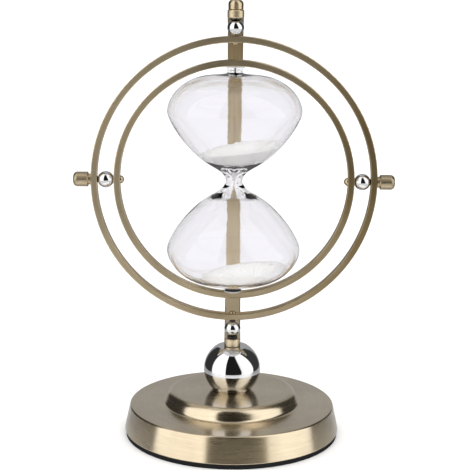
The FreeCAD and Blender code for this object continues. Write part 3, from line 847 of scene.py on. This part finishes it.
class HOURGLASS_OT_stage(HourglassOperator, bpy.types.Operator):
    """Set up the pale floor, the soft studio light and the camera"""

    bl_idname = "hourglass.stage"
    bl_label = "Studio"

    def execute(self, context):
        settings = context.scene.hourglass_stage
        self.floor(settings)
        self.surroundings(context)
        self.camera(context, settings)
        context.scene.view_settings.view_transform = "Standard"
        return {"FINISHED"}

    def floor(self, settings):
        """A wide pale floor, and the smaller table top that the polished metal mirrors."""
        material, tree, shader = new_material("floor_pale")
        # painted shade: the floor takes a darker tone for rays that have passed through the glass
        rays = tree.nodes.new("ShaderNodeLightPath")
        passed = math_node(tree, "GREATER_THAN", rays.outputs["Transmission Depth"], 0.5)
        pale = mix_colours(tree, passed, (0.7, 0.7, 0.7), (0.515, 0.51, 0.527))
        wire(tree, (pale, shader.inputs["Base Color"]))
        shader.inputs["Roughness"].default_value = 1
        shader.inputs["Specular IOR Level"].default_value = 0
        mirror, tree, shader = new_material("table_gloss")
        # painted shade: the glossy table top darkens from in front of the hourglass to behind it, for
        # the metal to mirror
        depth = place_node(
            tree, "ShaderNodeSeparateXYZ", {"Vector": object_place(tree)},
        ).outputs["Y"]
        table_painted_shade = mix_colours(
            tree, spread(tree, depth, -0.06, 0.02), (0.75, 0.75, 0.75), (0.36, 0.36, 0.36),
        )
        wire(tree, (table_painted_shade, shader.inputs["Base Color"]))
        shader.inputs["Roughness"].default_value = 0.06
        for name, radius, height, finish in (
            ("floor", FLOOR_RADIUS, 0, material),
            ("table_top", settings.table_radius, TABLE_TOP_HEIGHT, mirror),
        ):
            mesh = bpy.data.meshes.new(name)
            shape = bmesh.new()
            bmesh.ops.create_circle(
                shape, cap_ends=True, radius=radius, segments=96,
                matrix=Matrix.Translation((0, 0, height)),
            )
            shape.to_mesh(mesh)
            shape.free()
            disc = bpy.data.objects.new(name, mesh)
            bpy.context.scene.collection.objects.link(disc)
            mesh.materials.append(finish)
            mirrored = name == "table_top"
            disc.visible_glossy = mirrored
            for kind in ("camera", "diffuse", "transmission", "shadow"):
                setattr(disc, f"visible_{kind}", not mirrored)

    def surroundings(self, context):
        """Room with two tall soft panels, a gap in front and a dark strip behind each.

        The camera sees it white, and scattered and transmitted rays meet an even light instead.
        """
        world = bpy.data.worlds.new("studio")
        context.scene.world = world
        world.use_nodes = True
        tree = world.node_tree
        tree.nodes.clear()
        output = tree.nodes.new("ShaderNodeOutputWorld")
        direction = tree.nodes.new("ShaderNodeTexCoord")
        split = tree.nodes.new("ShaderNodeSeparateXYZ")
        wire(tree, (direction.outputs["Generated"], split.inputs[0]))
        x, y, z = split.outputs
        turn = math_node(tree, "ARCTAN2", x, math_node(tree, "MULTIPLY", y, -1.0))
        turn = math_node(tree, "ADD", math_node(tree, "DIVIDE", turn, 2 * math.pi), 0.5)
        lean = math_node(tree, "MULTIPLY", math_node(tree, "GREATER_THAN", x, 0.0), 0.055)
        lean = math_node(tree, "MULTIPLY", lean, math_node(tree, "MAXIMUM", z, 0.0))
        turn = math_node(tree, "ADD", turn, lean)
        panels = tree.nodes.new("ShaderNodeValToRGB")
        ramp = panels.color_ramp
        while len(ramp.elements) > 1:
            ramp.elements.remove(ramp.elements[-1])
        for index, (degrees, level) in enumerate(PANEL_STOPS):
            place = degrees / 360 + 0.5
            element = ramp.elements[0] if index == 0 else ramp.elements.new(place)
            element.position = place
            element.color = (level, level, level, 1)
        wire(tree, (turn, panels.inputs[0]))
        top = spread(tree, z, 0.90, 0.94)
        room = mix_colours(tree, top, panels.outputs[0], (0.85, 0.85, 0.85))
        behind = spread(tree, y, 0.0, 0.1)
        right = math_node(tree, "GREATER_THAN", x, 0.0)
        edge = math_node(tree, "ADD", math_node(tree, "MULTIPLY", right, 0.17), 0.68)
        high = math_node(tree, "DIVIDE", math_node(tree, "SUBTRACT", z, edge), 0.08)
        cover = tree.nodes.new("ShaderNodeClamp")
        wire(tree, (high, cover.inputs[0]))
        over = math_node(tree, "MULTIPLY", cover.outputs[0], behind)
        room = mix_colours(tree, over, room, (0.6, 0.6, 0.6))
        below = spread(tree, z, -0.18, -0.23)
        ground = mix_colours(tree, behind, (0.92, 0.92, 0.92), (0.28, 0.28, 0.28))
        room = mix_colours(tree, below, room, ground)
        rays = tree.nodes.new("ShaderNodeLightPath")
        scattered = math_node(tree, "GREATER_THAN", rays.outputs["Diffuse Depth"], 0.5)
        seen = tree.nodes.new("ShaderNodeBackground")
        seen.inputs["Color"].default_value = (1, 1, 1, 1)
        seen.inputs["Strength"].default_value = 1.0
        even = tree.nodes.new("ShaderNodeBackground")
        even.inputs["Color"].default_value = (1, 1, 1, 1)
        through = math_node(tree, "GREATER_THAN", rays.outputs["Transmission Depth"], 0.5)
        strength = math_node(tree, "MULTIPLY", through, EVEN_LIGHT_BEHIND_GLASS)
        strength = math_node(tree, "ADD", strength, EVEN_LIGHT)
        wire(tree, (strength, even.inputs["Strength"]))
        room = mix_colours(tree, through, room, (0.9, 0.9, 0.91))
        panelled = tree.nodes.new("ShaderNodeBackground")
        first = tree.nodes.new("ShaderNodeMixShader")
        second = tree.nodes.new("ShaderNodeMixShader")
        wire(
            tree,
            (room, panelled.inputs["Color"]),
            (scattered, first.inputs[0]),
            (panelled.outputs[0], first.inputs[1]),
            (even.outputs[0], first.inputs[2]),
            (rays.outputs["Is Camera Ray"], second.inputs[0]),
            (first.outputs[0], second.inputs[1]),
            (seen.outputs[0], second.inputs[2]),
            (second.outputs[0], output.inputs["Surface"]),
        )

    def camera(self, context, settings):
        """A long lens at the front, looking slightly down."""
        data = bpy.data.cameras.new("camera")
        camera = bpy.data.objects.new("camera", data)
        context.scene.collection.objects.link(camera)
        data.sensor_width = 36
        data.lens = settings.focal_length
        pitch, yaw, roll = settings.pitch, settings.yaw, settings.roll
        ahead = Vector((
            math.sin(yaw) * math.cos(pitch), math.cos(yaw) * math.cos(pitch), -math.sin(pitch),
        ))
        level = Vector((math.cos(yaw), -math.sin(yaw), 0))
        upward = level.cross(ahead)
        right = math.cos(roll) * level + math.sin(roll) * upward
        above = math.cos(roll) * upward - math.sin(roll) * level
        turn = Matrix((right, above, -ahead)).transposed().to_4x4()
        place = Matrix.Translation((0, -settings.camera_distance, settings.camera_height))
        camera.matrix_world = place @ turn
        context.scene.camera = camera


class HOURGLASS_PT_panel(bpy.types.Panel):
    """The steps that build the hourglass, in order"""

    bl_idname = "HOURGLASS_PT_panel"
    bl_label = "Hourglass"
    bl_space_type = "VIEW_3D"
    bl_region_type = "UI"
    bl_category = "Hourglass"

    def draw(self, context):
        for operator in OPERATORS:
            self.layout.operator(operator.bl_idname)


SETTINGS = {
    "hourglass_bronze": BronzeSettings,
    "hourglass_glass": GlassSettings,
    "hourglass_sand": SandSettings,
    "hourglass_stage": StageSettings,
}
OPERATORS = (
    HOURGLASS_OT_base,
    HOURGLASS_OT_balls,
    HOURGLASS_OT_arm,
    HOURGLASS_OT_rings,
    HOURGLASS_OT_pivots,
    HOURGLASS_OT_inside,
    HOURGLASS_OT_glass,
    HOURGLASS_OT_sand,
    HOURGLASS_OT_stage,
)


def register():
    """Add the settings, the operators and the panel."""
    for name, group in SETTINGS.items():
        bpy.utils.register_class(group)
        setattr(bpy.types.Scene, name, PointerProperty(type=group))
    for operator in OPERATORS:
        bpy.utils.register_class(operator)
    bpy.utils.register_class(HOURGLASS_PT_panel)


def unregister():
    """Take them out again."""
    bpy.utils.unregister_class(HOURGLASS_PT_panel)
    for operator in reversed(OPERATORS):
        bpy.utils.unregister_class(operator)
    for name, group in SETTINGS.items():
        delattr(bpy.types.Scene, name)
        bpy.utils.unregister_class(group)


def main():
    """Run every step."""
    register()
    for operator in OPERATORS:
        group, step = operator.bl_idname.split(".")
        getattr(getattr(bpy.ops, group), step)()
    bpy.context.view_layer.update()


if __name__ == "__main__":
    main()
